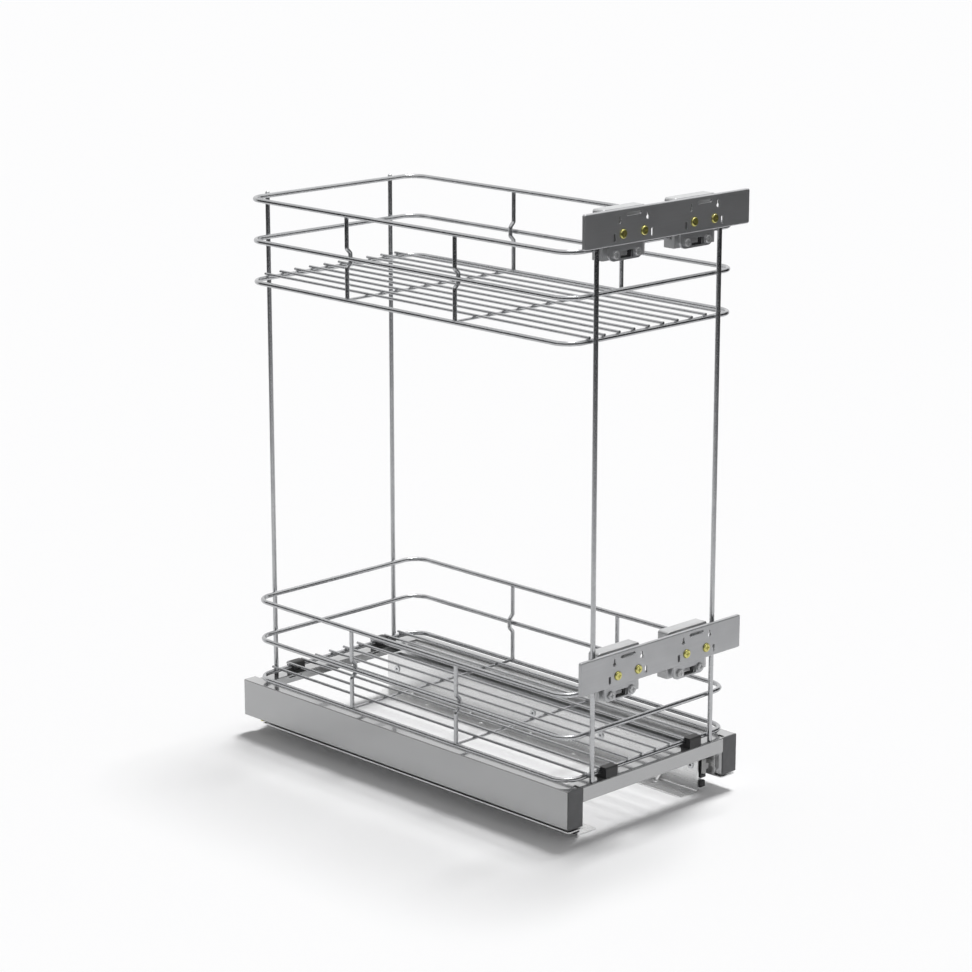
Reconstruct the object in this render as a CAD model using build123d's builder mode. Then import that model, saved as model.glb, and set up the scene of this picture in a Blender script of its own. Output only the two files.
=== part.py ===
"""Pull-out cargo basket: two wire baskets on a base frame with telescopic runners.

Millimetres. +Z is up and -Y is the way the basket pulls out, towards the cabinet door.
The origin is on the cabinet floor, at the centre of the four outer floor screws.
"""

import os
from build123d import *

os.makedirs("parts", exist_ok=True)

# Side covers and base frame
unit_width = 253.0
cover_length = 500.0
cover_floor_gap = 20.5
cover_height = 41.0
cover_width = 21.0
cover_sheet = 1.2
cover_edge_radius = 0.9
cover_return_depth = 10.0
cover_top_width = 15.7
cover_bottom_return = 9.0
cover_screw_inset = 5.5
cover_screw_rear_distance = 25.5
cover_screw_length = 12.0
cover_screw_head = 2.3
cover_screw_head_radius = 3.4
cover_screw_edge_radius = 0.8
end_plate_sheet = 1.5
end_plate_edge_radius = 0.6
end_plate_peg_radius = 1.8
end_plate_peg_length = 5.0
end_plate_peg_inset = 9.0

# Cross-members between the carriers
cross_member_height = 15.5
cross_member_depth = 18.0
cross_member_sheet = 1.5
cross_member_lap = 5.0
member_bend_radius = 1.0
rear_member_setback = 7.5

# Roll-formed carrier under each cover
carrier_sheet = 1.2
carrier_lip_drop = 3.0
carrier_lip_rear_setback = 31.0
carrier_groove_height = 6.7
carrier_groove_depth = 5.0
carrier_shoulder_drop = 11.0
carrier_rear_setback = 3.0
lip_corner_radius = 3.0
carrier_play = 0.4
carrier_screw_tip = 3.0
carrier_head_radius = 4.0
carrier_head_height = 2.2

# Floor brackets
runner_space = 15.5
bracket_sheet = 1.5
bracket_height = 45.0
bracket_flange = 27.5
bracket_front_inset = 21.0
bracket_rear_overhang = 1.0
bracket_rear_cut = 17.0
bracket_bend_radius = 2.5
gusset_size = 5.0
gusset_width = 3.0
gusset_pitch = 96.0
gusset_count = 5
gusset_rear_distance = 43.0

# Floor screws
floor_screw_offset = 12.0
floor_screw_setback = 226.0
floor_screw_pitch = 352.0
inner_screw_pitch = 144.0
inner_screw_shift = 16.0
floor_hole_radius = 2.25
floor_sink_radius = 3.0

# Telescopic runners
rail_sheet = 1.2
rail_height = 34.0
rail_axis_z = 28.0
rail_front_inset = 2.0
rail_rear_inset = 4.0
fixed_rail_depth = 7.0
intermediate_shortfall = 70.0
intermediate_depth = 7.7
moving_rail_depth = 7.7
rail_web_gap = 1.0
ball_diameter = 3.2
ball_gap = 2.6
raceway_play = 0.25
ball_pitch = 16.0
outer_ball_count = 10
outer_ball_inset = 2.4
inner_ball_inset = 5.1
inner_ball_count = 12
outer_cage_setback = 196.0
inner_cage_setback = 231.5
cage_sheet = 0.8
cage_hole_play = 0.15
cage_end = 8.0
cage_web_play = 0.1
cage_flange_reach = 2.4
rivet_front_distances = (10.0, 140.0, 243.0)
rivet_rear_distance = 16.0
rivet_head_radius = 4.0
rivet_head_height = 1.0
rivet_shank_radius = 2.4
rivet_bore_radius = 1.3
carrier_screw_front_distances = (87.0, 207.0, 327.0)
carrier_screw_rear_distance = 38.0

# Wire cage
rim_side_inset = 5.75
rim_front_inset = 9.6
rim_rear_inset = 8.1
rim_corner_radius = 20.0
rim_wire = 5.0
rim_pitch = 44.4
basket_seat_height = 6.0
basket_spacing = 443.0
post_wire = 5.0
post_wire_inset = 5.75
post_overshoot = 4.0
post_top_flat = 0.4
strut_wire = 4.5
strut_spacing = 160.0
strut_joggle_height = 10.0
strut_bend_radius = 3.0
shelf_wire = 3.0
shelf_wire_pitch = 21.0
shelf_rear_overhang = 1.5
weld_gap = 0.1

# Plastic clips that hold the lower basket on the cross-members
clip_wire_gaps = 1.5
clip_width = 17.0
clip_top = 2.5
clip_foot = 8.0
clip_foot_thickness = 2.0
clip_wall = 1.4
clip_pad_reach = 3.0
clip_pad_thickness = 1.5
clip_corner_radius = 1.5
clip_back_radius = 4.0
clip_front_setback = 1.0
clip_play = 0.15

# Door-front brackets
plate_side_inset = 7.75
plate_height = 35.0
plate_sheet = 1.5
plate_return = 3.5
plate_corner_radius = 2.0
plate_above_rim = 4.0
adjuster_post_gap = 4.25
adjuster_screw_spacing = 29.8
adjuster_screw_height = 14.9
height_travel = 3.0
side_travel = 2.0
long_slot_length = 21.0
long_slot_width = 3.4
long_slot_height = 33.2
keyhole_spacing = 39.6
keyhole_height = 27.5
keyhole_radius = 2.2
keyhole_neck = 2.2
keyhole_rise = 4.5
side_slot_spacing = 52.7
side_slot_height = 12.3
side_slot_width = 3.2
side_slot_length = 8.0
plate_head_radius = 4.6
plate_head_proud = 1.8
plate_head_edge_radius = 1.2
plate_seat_depth = 0.9
plate_shank_end = 0.9
plate_shank_clearance = 1.7
plate_edge_radius = 1.4

# Adjusters behind the plates
housing_width = 60.0
housing_offset = -1.0
housing_top = 38.0
housing_bottom = -11.5
housing_sheet = 2.0
housing_depth = 13.6
housing_wire_offset = 6.4
housing_corner_radius = 3.0
housing_bend_radius = 1.2
boss_radius = 3.8
slider_width = 47.0
slider_offset = -6.5
slider_sheet = 2.5
slider_top = 24.0
slider_shoulder = 3.0
slider_upper_overhang = 4.0
slider_corner_radius = 7.0
slider_gap = 0.3
slider_window_width = 18.0
slider_window_height = 7.5
slider_window_offset = -5.0
slider_pad_width = 10.8
slider_pad_rim = 0.8
slider_window_drop = 0.8
clamp_screw_left = -21.0
clamp_screw_right = 9.5
clamp_screw_height = -5.2
clamp_screw_head_radius = 4.2
clamp_screw_head_height = 2.2
screw_shank_radius = 2.0
screw_play = 0.2
clamp_bar_sheet = 3.0
clamp_bar_height = 13.0
clamp_bar_inset = 3.5
clamp_bar_top = 2.0
clamp_screw_tip = 1.0
clamp_screw_edge_radius = 0.9
recess_width = 1.0
recess_length = 5.0
recess_depth = 0.8
nut_width = 7.0
nut_height = 2.6
nut_thread_play = 0.05

# Release levers
lever_width = 3.6
lever_length = 36.0
lever_height = 6.0
lever_tab_height = 15.0
lever_tab_thickness = 2.0
lever_tab_reach = 5.0
lever_side_play = 1.1
lever_tab_gap = 1.6
lever_pin_radius = 1.5
lever_pin_play = 0.1
lever_pin_overhang = 0.8
lever_tab_radius = 1.5
lever_end_flat = 0.01

# Small plastic pieces
end_cap_depth = 3.0
cap_play = 0.4
rail_stop_depth = 5.0
rail_stop_height = 7.0
rail_stop_radius = 1.0
buffer_length = 40.0
buffer_play = 0.2
buffer_inset = 1.0
buffer_corner_radius = 2.0
face_gap = 0.1

# Places worked out from the sizes above
bracket_front_y = -floor_screw_setback
cover_front_y = bracket_front_y - bracket_front_inset
cover_rear_y = cover_front_y + cover_length
cover_outer_x = unit_width / 2
cover_inner_x = cover_outer_x - cover_width
cover_bottom_z = cover_floor_gap
cover_top_z = cover_bottom_z + cover_height
member_bottom_z = cover_top_z - cross_member_height
rear_member_y = cover_rear_y - rear_member_setback
bracket_rear_y = cover_rear_y + bracket_rear_overhang
bracket_length = bracket_rear_y - bracket_front_y
cover_wall_front_y = cover_front_y + end_plate_sheet + face_gap
bracket_inner_x = cover_inner_x - runner_space
bracket_outer_x = bracket_inner_x + bracket_sheet
floor_screw_x = bracket_inner_x - floor_screw_offset
gusset_rear_y = bracket_rear_y - gusset_rear_distance
rail_front_y = bracket_front_y + rail_front_inset
rail_length = bracket_rear_y - rail_rear_inset - rail_front_y
rail_bottom_z = rail_axis_z - rail_height / 2
fixed_rail_x = bracket_outer_x + face_gap
intermediate_x = fixed_rail_x + rail_sheet + rail_web_gap
intermediate_length = rail_length - intermediate_shortfall
intermediate_height = rail_height - 2 * (rail_sheet + ball_gap)
moving_rail_height = intermediate_height - 2 * (rail_sheet + ball_gap)
outer_cage_x = fixed_rail_x + rail_sheet + cage_web_play
inner_cage_x = intermediate_x + rail_sheet + cage_web_play
outer_cage_centre_y = rail_front_y + outer_cage_setback
inner_cage_centre_y = rail_front_y + inner_cage_setback
outer_ball_x = intermediate_x + outer_ball_inset
inner_ball_x = intermediate_x + inner_ball_inset
rivet_ys = [bracket_front_y + distance for distance in rivet_front_distances]
rivet_ys += [bracket_rear_y - rivet_rear_distance]
carrier_inner_x = cover_inner_x - carrier_sheet - 3 * face_gap
moving_rail_x = carrier_inner_x - face_gap
carrier_bottom_z = cover_bottom_z - carrier_lip_drop
carrier_top_z = cover_top_z - cross_member_sheet - face_gap
carrier_front_y = cover_front_y + cover_return_depth + carrier_play
carrier_rear_y = cover_rear_y - carrier_rear_setback
carrier_screw_ys = [cover_front_y + distance for distance in carrier_screw_front_distances]
carrier_screw_ys += [cover_rear_y - carrier_screw_rear_distance]
shoulder_z = cover_top_z - carrier_shoulder_drop
cover_screw_x = cover_outer_x - cover_screw_inset
cover_screw_y = cover_rear_y - cover_screw_rear_distance
rim_radius = rim_wire / 2
rim_half_width = cover_outer_x - rim_side_inset
rim_front_y = cover_front_y + rim_front_inset
rim_rear_y = rear_member_y - rim_rear_inset
rim_centre_y = (rim_front_y + rim_rear_y) / 2
lower_basket_z = cover_top_z + basket_seat_height
upper_basket_z = lower_basket_z + basket_spacing
upper_top_rim_z = upper_basket_z + 2 * rim_pitch
lower_top_rim_z = lower_basket_z + 2 * rim_pitch
rim_straight_half = rim_half_width - rim_corner_radius
shelf_wire_count = 2 * int((rim_straight_half - shelf_wire / 2) / shelf_wire_pitch + 0.5)
shelf_edge_x = shelf_wire_pitch * (shelf_wire_count - 1) / 2
shelf_wire_rise = rim_radius + shelf_wire / 2 + weld_gap
cross_wire_rise = shelf_wire_rise - shelf_wire - weld_gap
cross_wire_half_length = rim_half_width - rim_radius - weld_gap
post_x = shelf_edge_x - post_wire_inset
post_distance = rim_radius + post_wire / 2 + weld_gap
clip_x = shelf_edge_x - clip_wire_gaps * shelf_wire_pitch
housing_front_y = rim_front_y - housing_wire_offset
housing_rear_y = housing_front_y + housing_depth
adjuster_gap = face_gap + nut_height + plate_shank_end + plate_shank_clearance
slider_back_y = housing_front_y - adjuster_gap
slider_front_y = slider_back_y - slider_sheet
plate_front_y = slider_front_y - slider_gap - plate_return
plate_back_y = plate_front_y + plate_sheet
plate_width = unit_width - 2 * plate_side_inset
plate_shank_rear_y = slider_back_y + face_gap + nut_height + plate_shank_end
adjuster_x = post_x - post_wire / 2 - adjuster_post_gap - housing_width / 2 + housing_offset


def section_plane(y):
    """Plane across the unit at y, with its own x along +X and its own y along +Z."""
    return Plane.XZ.offset(-y)


def bar(low, high):
    """Box from its lowest to its highest corner, added to the piece being made."""
    size = [b - a for a, b in zip(low, high)]
    centre = [(a + b) / 2 for a, b in zip(low, high)]
    with Locations(tuple(centre)):
        Box(*size)


def mirrored(piece):
    """The same piece on the other side of the unit."""
    with BuildPart() as other:
        mirror(piece.part, about=Plane.YZ)
    return other


def pair(piece):
    """The piece and its mirror image as one group of separate solids."""
    with BuildPart() as both:
        add(piece.part)
        mirror(piece.part, about=Plane.YZ)
    return both


def cross_recess(centre_x, front_y, centre_z):
    """Cross-head recess cut into a screw head that faces the door."""
    for width, height in ((recess_length, recess_width), (recess_width, recess_length)):
        with Locations((centre_x, front_y + recess_depth / 2, centre_z)):
            Box(width, recess_depth, height, mode=Mode.SUBTRACT)


# Right floor bracket: wall, flange, bend, gussets and holes
with BuildPart() as right_floor_bracket:
    with BuildSketch(section_plane(bracket_front_y)):
        with BuildLine():
            Polyline(
                (bracket_outer_x, 0),
                (bracket_outer_x, bracket_height),
                (bracket_inner_x, bracket_height),
                (bracket_inner_x, bracket_sheet),
                (bracket_outer_x - bracket_flange, bracket_sheet),
                (bracket_outer_x - bracket_flange, 0),
                close=True,
            )
        make_face()
    extrude(amount=-bracket_length)
    bend = edges().filter_by(Axis.Y).group_by(Axis.Z)[0].sort_by(Axis.X)[-1]
    fillet(bend, bracket_bend_radius)
    inner_bend = edges().filter_by(Axis.Y).group_by(Axis.Z)[1].sort_by(Axis.X)[-1]
    fillet(inner_bend, bracket_bend_radius - bracket_sheet)
    with BuildSketch(Plane.XY):
        with BuildLine():
            Polyline(
                (bracket_outer_x - bracket_flange, bracket_rear_y),
                (bracket_outer_x - bracket_flange + bracket_rear_cut, bracket_rear_y),
                (bracket_outer_x - bracket_flange, bracket_rear_y - bracket_rear_cut),
                close=True,
            )
        make_face()
    extrude(amount=bracket_sheet, mode=Mode.SUBTRACT)
    for number in range(gusset_count):
        gusset_y = gusset_rear_y - number * gusset_pitch
        with BuildSketch(section_plane(gusset_y - gusset_width / 2)):
            with BuildLine():
                Polyline(
                    (bracket_inner_x, bracket_sheet),
                    (bracket_inner_x - gusset_size, bracket_sheet),
                    (bracket_inner_x, bracket_sheet + gusset_size),
                    close=True,
                )
            make_face()
        extrude(amount=-gusset_width)
    screw_ys = [side * floor_screw_pitch / 2 for side in (-1, 1)]
    screw_ys += [inner_screw_shift + side * inner_screw_pitch / 2 for side in (-1, 1)]
    with Locations(*[(floor_screw_x, y, bracket_sheet) for y in screw_ys]):
        CounterSinkHole(floor_hole_radius, floor_sink_radius, depth=bracket_sheet)
    for y in rivet_ys:
        with Locations(Location((bracket_inner_x, y, rail_axis_z), (0, 90, 0))):
            Cylinder(rivet_shank_radius + face_gap, 4 * bracket_sheet, mode=Mode.SUBTRACT)
left_floor_bracket = mirrored(right_floor_bracket)


def rail_section(web_x, depth, height, opens, grooves):
    """C section of a rail with raceways; opens is +1 when the lips point away from the middle."""
    lips_x = web_x + opens * depth
    low_x, high_x = sorted((web_x, lips_x))
    with Locations(((low_x + high_x) / 2, rail_axis_z)):
        Rectangle(high_x - low_x, height)
    inner_low, inner_high = sorted((web_x + opens * rail_sheet, lips_x))
    with Locations(((inner_low + inner_high) / 2, rail_axis_z)):
        Rectangle(inner_high - inner_low, height - 2 * rail_sheet, mode=Mode.SUBTRACT)
    for groove_x, rise in grooves:
        with Locations((groove_x, rail_axis_z)):
            with GridLocations(0, 2 * rise, 1, 2):
                Circle(ball_diameter / 2 + raceway_play, mode=Mode.SUBTRACT)


def rail_web_holes(web_x, ys, radius):
    for y in ys:
        with Locations(Location((web_x, y, rail_axis_z), (0, 90, 0))):
            Cylinder(radius, 4 * rail_sheet, mode=Mode.SUBTRACT)


outer_groove = (outer_ball_x, (intermediate_height + ball_gap) / 2)
inner_groove = (inner_ball_x, (moving_rail_height + ball_gap) / 2)

# Fixed rail, riveted to the bracket wall, lips outwards
with BuildPart() as right_fixed_rail:
    with BuildSketch(section_plane(rail_front_y)):
        rail_section(fixed_rail_x, fixed_rail_depth, rail_height, 1, [outer_groove])
    extrude(amount=-rail_length)
    rail_web_holes(fixed_rail_x, rivet_ys, rivet_shank_radius + face_gap)
left_fixed_rail = mirrored(right_fixed_rail)

# Hollow rivets through the bracket wall and the fixed rail
rivet_inner_x = bracket_inner_x - rivet_head_height
rivet_outer_x = fixed_rail_x + rail_sheet
with BuildPart() as right_rivets:
    for y in rivet_ys:
        with Locations(Location((bracket_inner_x - rivet_head_height / 2, y, rail_axis_z), (0, 90, 0))):
            Cylinder(rivet_head_radius, rivet_head_height)
        with Locations(Location(((rivet_inner_x + rivet_outer_x) / 2, y, rail_axis_z), (0, 90, 0))):
            Cylinder(rivet_shank_radius, rivet_outer_x - rivet_inner_x)
            Cylinder(rivet_bore_radius, rivet_outer_x - rivet_inner_x, mode=Mode.SUBTRACT)
rail_rivets = pair(right_rivets)

# Intermediate rail, inside the fixed rail, lips outwards
with BuildPart() as right_intermediate_rail:
    with BuildSketch(section_plane(rail_front_y)):
        grooves = [outer_groove, inner_groove]
        rail_section(intermediate_x, intermediate_depth, intermediate_height, 1, grooves)
    extrude(amount=-intermediate_length)
left_intermediate_rail = mirrored(right_intermediate_rail)

# Moving rail, inside the intermediate rail, lips inwards, web against the carrier
with BuildPart() as right_moving_rail:
    with BuildSketch(section_plane(rail_front_y)):
        rail_section(moving_rail_x, moving_rail_depth, moving_rail_height, -1, [inner_groove])
    extrude(amount=-rail_length)
    rail_web_holes(moving_rail_x, carrier_screw_ys, screw_shank_radius + face_gap)
left_moving_rail = mirrored(right_moving_rail)


def ball_row(x, height, centre_y, count):
    """Balls above and below the rail axis, evenly spaced along the runner."""
    rise = (height + ball_gap) / 2
    for side in (-1, 1):
        with Locations((x, centre_y, rail_axis_z + side * rise)):
            with GridLocations(0, ball_pitch, 1, count):
                Sphere(ball_diameter / 2)


def ball_cage(web_x, x, height, centre_y, count):
    """Channel-shaped retainer with a hole for each ball."""
    rise = (height + ball_gap) / 2
    length = (count - 1) * ball_pitch + 2 * cage_end
    half = rise + cage_sheet / 2
    bar(
        (web_x, centre_y - length / 2, rail_axis_z - half),
        (web_x + cage_sheet, centre_y + length / 2, rail_axis_z + half),
    )
    for side in (-1, 1):
        level = rail_axis_z + side * rise
        bar(
            (web_x, centre_y - length / 2, level - cage_sheet / 2),
            (x + cage_flange_reach, centre_y + length / 2, level + cage_sheet / 2),
        )
        with Locations((x, centre_y, level)):
            with GridLocations(0, ball_pitch, 1, count):
                Cylinder(ball_diameter / 2 + cage_hole_play, 3 * cage_sheet, mode=Mode.SUBTRACT)


# Balls and cages of both runners
with BuildPart() as right_outer_balls:
    ball_row(outer_ball_x, intermediate_height, outer_cage_centre_y, outer_ball_count)
outer_balls = pair(right_outer_balls)
with BuildPart() as right_inner_balls:
    ball_row(inner_ball_x, moving_rail_height, inner_cage_centre_y, inner_ball_count)
inner_balls = pair(right_inner_balls)
with BuildPart() as right_outer_cage:
    ball_cage(outer_cage_x, outer_ball_x, intermediate_height, outer_cage_centre_y, outer_ball_count)
outer_ball_cages = pair(right_outer_cage)
with BuildPart() as right_inner_cage:
    ball_cage(inner_cage_x, inner_ball_x, moving_rail_height, inner_cage_centre_y, inner_ball_count)
inner_ball_cages = pair(right_inner_cage)

# Black plastic stops under the front end of the fixed rails
with BuildPart() as right_rail_stop:
    bar(
        (fixed_rail_x, rail_front_y - rail_stop_depth, rail_bottom_z - rail_stop_height + rail_sheet),
        (fixed_rail_x + fixed_rail_depth, rail_front_y - face_gap, rail_bottom_z + rail_sheet),
    )
    fillet(edges().filter_by(Axis.X), rail_stop_radius)
rail_stops = pair(right_rail_stop)

# Black plastic caps on the front ends of the intermediate rails
cap_rear_y = rail_front_y - face_gap
cap_front_y = cap_rear_y - end_cap_depth
with BuildPart() as right_end_cap:
    bar(
        (intermediate_x, cap_front_y, rail_axis_z - intermediate_height / 2),
        (intermediate_x + intermediate_depth, cap_rear_y, rail_axis_z - moving_rail_height / 2 - cap_play),
    )
    bar(
        (intermediate_x, cap_front_y, rail_axis_z - intermediate_height / 2),
        (intermediate_x + rail_sheet, cap_rear_y, rail_axis_z + intermediate_height / 2),
    )
rail_end_caps = pair(right_end_cap)

# Release levers that pivot in the front ends of the moving rails
lever_outer_x = moving_rail_x - rail_sheet - lever_side_play
lever_pin_y = rail_front_y + lever_length
tab_rear_y = cap_front_y - lever_tab_gap
tab_front_y = tab_rear_y - lever_tab_thickness
tab_inner_x = lever_outer_x - lever_width - lever_tab_reach
with BuildPart() as right_release_lever:
    bar(
        (lever_outer_x - lever_width, tab_front_y, rail_axis_z - lever_height / 2),
        (lever_outer_x, lever_pin_y + lever_height / 2, rail_axis_z + lever_height / 2),
    )
    fillet(edges().filter_by(Axis.X).group_by(Axis.Y)[-1], lever_height / 2 - lever_end_flat)
    bar(
        (tab_inner_x, tab_front_y, rail_axis_z - lever_tab_height / 2),
        (lever_outer_x - lever_width, tab_rear_y, rail_axis_z + lever_tab_height / 2),
    )
    fillet(edges().filter_by(Axis.Y).group_by(Axis.X)[0], lever_tab_radius)
    with Locations(Location((lever_outer_x, lever_pin_y, rail_axis_z), (0, 90, 0))):
        Cylinder(lever_pin_radius + lever_pin_play, 4 * lever_width, mode=Mode.SUBTRACT)
left_release_lever = mirrored(right_release_lever)

with BuildPart() as right_lever_pin:
    pin_inner_x = lever_outer_x - lever_width - lever_pin_overhang
    pin_outer_x = moving_rail_x - rail_sheet
    with Locations(Location(((pin_inner_x + pin_outer_x) / 2, lever_pin_y, rail_axis_z), (0, 90, 0))):
        Cylinder(lever_pin_radius, pin_outer_x - pin_inner_x)
lever_pins = pair(right_lever_pin)

# Roll-formed carrier: inner wall with a groove, top flange and bottom lip
groove_top_z = shoulder_z + carrier_groove_height
with BuildPart() as right_carrier:
    with BuildSketch(section_plane(carrier_front_y)):
        with BuildLine():
            Polyline(
                (cover_outer_x - cover_sheet - carrier_play, carrier_top_z),
                (carrier_inner_x, carrier_top_z),
                (carrier_inner_x, groove_top_z),
                (carrier_inner_x + carrier_groove_depth, groove_top_z),
                (carrier_inner_x + carrier_groove_depth, shoulder_z),
                (carrier_inner_x, shoulder_z),
                (carrier_inner_x, carrier_bottom_z),
            )
            offset(amount=carrier_sheet, side=Side.LEFT, kind=Kind.INTERSECTION)
        make_face()
    extrude(amount=-(carrier_rear_y - carrier_front_y))
    with BuildSketch(Plane.XY.offset(carrier_bottom_z)):
        with BuildLine():
            Polyline(
                (carrier_inner_x, cover_front_y),
                (cover_outer_x - face_gap * 5, cover_front_y),
                (cover_outer_x - face_gap * 5, cover_rear_y - carrier_lip_rear_setback),
                (carrier_inner_x, cover_rear_y - carrier_lip_rear_setback),
                close=True,
            )
        make_face()
        fillet(vertices().group_by(Axis.Y)[0], lip_corner_radius)
    extrude(amount=carrier_sheet)
    for y in carrier_screw_ys:
        with Locations(Location((carrier_inner_x, y, rail_axis_z), (0, 90, 0))):
            Cylinder(screw_shank_radius + screw_play, 4 * carrier_sheet, mode=Mode.SUBTRACT)
left_carrier = mirrored(right_carrier)

# Screws that hold the carriers on the moving rails
with BuildPart() as right_carrier_screws:
    head_outer_x = moving_rail_x - rail_sheet
    tip_x = carrier_inner_x + carrier_sheet + carrier_screw_tip
    for y in carrier_screw_ys:
        with Locations(Location((head_outer_x - carrier_head_height / 2, y, rail_axis_z), (0, 90, 0))):
            Cylinder(carrier_head_radius, carrier_head_height)
        with Locations(Location(((head_outer_x + tip_x) / 2, y, rail_axis_z), (0, 90, 0))):
            Cylinder(screw_shank_radius, tip_x - head_outer_x)
carrier_screws = pair(right_carrier_screws)

end_plate_peg_x = (cover_inner_x + cover_outer_x) / 2
end_plate_peg_zs = (cover_bottom_z + end_plate_peg_inset, cover_top_z - end_plate_peg_inset)


def end_plate_pegs(radius, start_y, length, mode):
    """Round pegs, or the holes for them, through the front of the cover."""
    for z in end_plate_peg_zs:
        with Locations(Location((end_plate_peg_x, start_y + length / 2, z), (90, 0, 0))):
            Cylinder(radius, length, mode=mode)


# Side cover: outer wall, top, front with an inner return, bottom return
with BuildPart() as right_side_cover:
    bar(
        (cover_outer_x - cover_sheet, cover_wall_front_y, cover_bottom_z),
        (cover_outer_x, cover_rear_y, cover_top_z),
    )
    bar(
        (cover_outer_x - cover_top_width, cover_wall_front_y, cover_top_z - cover_sheet),
        (cover_outer_x, cover_rear_y, cover_top_z),
    )
    bar(
        (cover_outer_x - cover_bottom_return, cover_wall_front_y, cover_bottom_z),
        (cover_outer_x, cover_rear_y, cover_bottom_z + cover_sheet),
    )
    bar(
        (cover_inner_x, cover_wall_front_y, cover_bottom_z),
        (cover_outer_x, cover_wall_front_y + cover_sheet, cover_top_z),
    )
    bar(
        (cover_inner_x, cover_wall_front_y, cover_bottom_z),
        (cover_inner_x + cover_sheet, cover_front_y + cover_return_depth, cover_top_z),
    )
    fillet(edges().filter_by(Axis.Y).group_by(Axis.X)[-1], cover_edge_radius)
    end_plate_pegs(end_plate_peg_radius + face_gap, cover_front_y, cover_return_depth, Mode.SUBTRACT)
    with Locations((cover_screw_x, cover_screw_y, cover_bottom_z)):
        Cylinder(screw_shank_radius + screw_play, 4 * cover_sheet, mode=Mode.SUBTRACT)
left_side_cover = mirrored(right_side_cover)

# Dark plates on the front ends of the covers, pegged into them
with BuildPart() as right_end_plate:
    bar(
        (cover_inner_x, cover_front_y, cover_bottom_z),
        (cover_outer_x, cover_front_y + end_plate_sheet, cover_top_z),
    )
    fillet(edges().filter_by(Axis.Y).group_by(Axis.X)[-1], cover_edge_radius)
    fillet(faces().sort_by(Axis.Y)[0].outer_wire().edges(), end_plate_edge_radius)
    peg_start_y = cover_front_y + end_plate_sheet
    end_plate_pegs(end_plate_peg_radius, peg_start_y, end_plate_peg_length, Mode.ADD)
cover_end_plates = pair(right_end_plate)

# Plastic blocks inside the rear ends of the covers, which take the cover screws
with BuildPart() as right_rear_buffer:
    bar(
        (
            carrier_inner_x + carrier_groove_depth + carrier_sheet + buffer_play,
            cover_rear_y - buffer_length,
            cover_bottom_z + cover_sheet + buffer_play,
        ),
        (
            cover_outer_x - cover_sheet - buffer_play,
            cover_rear_y - buffer_inset,
            carrier_top_z - carrier_sheet - buffer_play,
        ),
    )
    fillet(edges().filter_by(Axis.X).group_by(Axis.Y)[-1], buffer_corner_radius)
    with Locations((cover_screw_x, cover_screw_y, cover_bottom_z + cover_sheet)):
        Cylinder(screw_shank_radius + face_gap, 2 * cover_screw_length, mode=Mode.SUBTRACT)
rear_buffers = pair(right_rear_buffer)

with BuildPart() as right_cover_screw:
    with Locations((cover_screw_x, cover_screw_y, cover_bottom_z - cover_screw_head / 2)):
        Cylinder(cover_screw_head_radius, cover_screw_head)
    with Locations((cover_screw_x, cover_screw_y, cover_bottom_z + cover_screw_length / 2)):
        Cylinder(screw_shank_radius, cover_screw_length)
    fillet(edges().filter_by(GeomType.CIRCLE).group_by(Axis.Z)[0], cover_screw_edge_radius)
cover_screws = pair(right_cover_screw)


def rim_end_y(inward):
    """Centre line of the rims' front wire for +1, and of their rear wire for -1."""
    return rim_front_y if inward > 0 else rim_rear_y


def clip_outer_y(inward):
    """Outer face of a clip, which is flush with the outer side of its foot."""
    return rim_end_y(inward) - inward * (rim_radius + clip_wall)


def cross_member(outer_y, inward, ear_start_y, web_half_width):
    """Web and top flange; inward is the way from the outer face to the unit's middle."""
    inner_y = outer_y + inward * cross_member_depth
    web_y = outer_y + inward * cross_member_sheet
    ear_x = cover_inner_x + cross_member_lap
    flange_z = cover_top_z - cross_member_sheet
    bar(
        (-web_half_width, min(outer_y, web_y), member_bottom_z),
        (web_half_width, max(outer_y, web_y), cover_top_z),
    )
    bar(
        (-web_half_width, min(outer_y, inner_y), flange_z),
        (web_half_width, max(outer_y, inner_y), cover_top_z),
    )
    bar(
        (-ear_x, min(ear_start_y, inner_y), flange_z),
        (ear_x, max(ear_start_y, inner_y), cover_top_z),
    )
    foot_y = clip_outer_y(inward) + inward * clip_foot_thickness / 2
    with Locations((-clip_x, foot_y, flange_z), (clip_x, foot_y, flange_z)):
        Box(
            clip_width + 2 * clip_play,
            clip_foot_thickness + 2 * clip_play,
            4 * cross_member_sheet,
            mode=Mode.SUBTRACT,
        )


with BuildPart() as front_cross_member:
    cross_member(cover_front_y, 1, cover_front_y + cover_return_depth + clip_play, cover_inner_x - clip_play)
    bend = edges().filter_by(Axis.X).group_by(Axis.Y)[0].sort_by(Axis.Z)[-1]
    fillet(bend, member_bend_radius)
with BuildPart() as rear_cross_member:
    cross_member(rear_member_y, -1, rear_member_y, carrier_inner_x - clip_play)
    bend = edges().filter_by(Axis.X).group_by(Axis.Y)[-1].sort_by(Axis.Z)[-1]
    fillet(bend, member_bend_radius)


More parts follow.
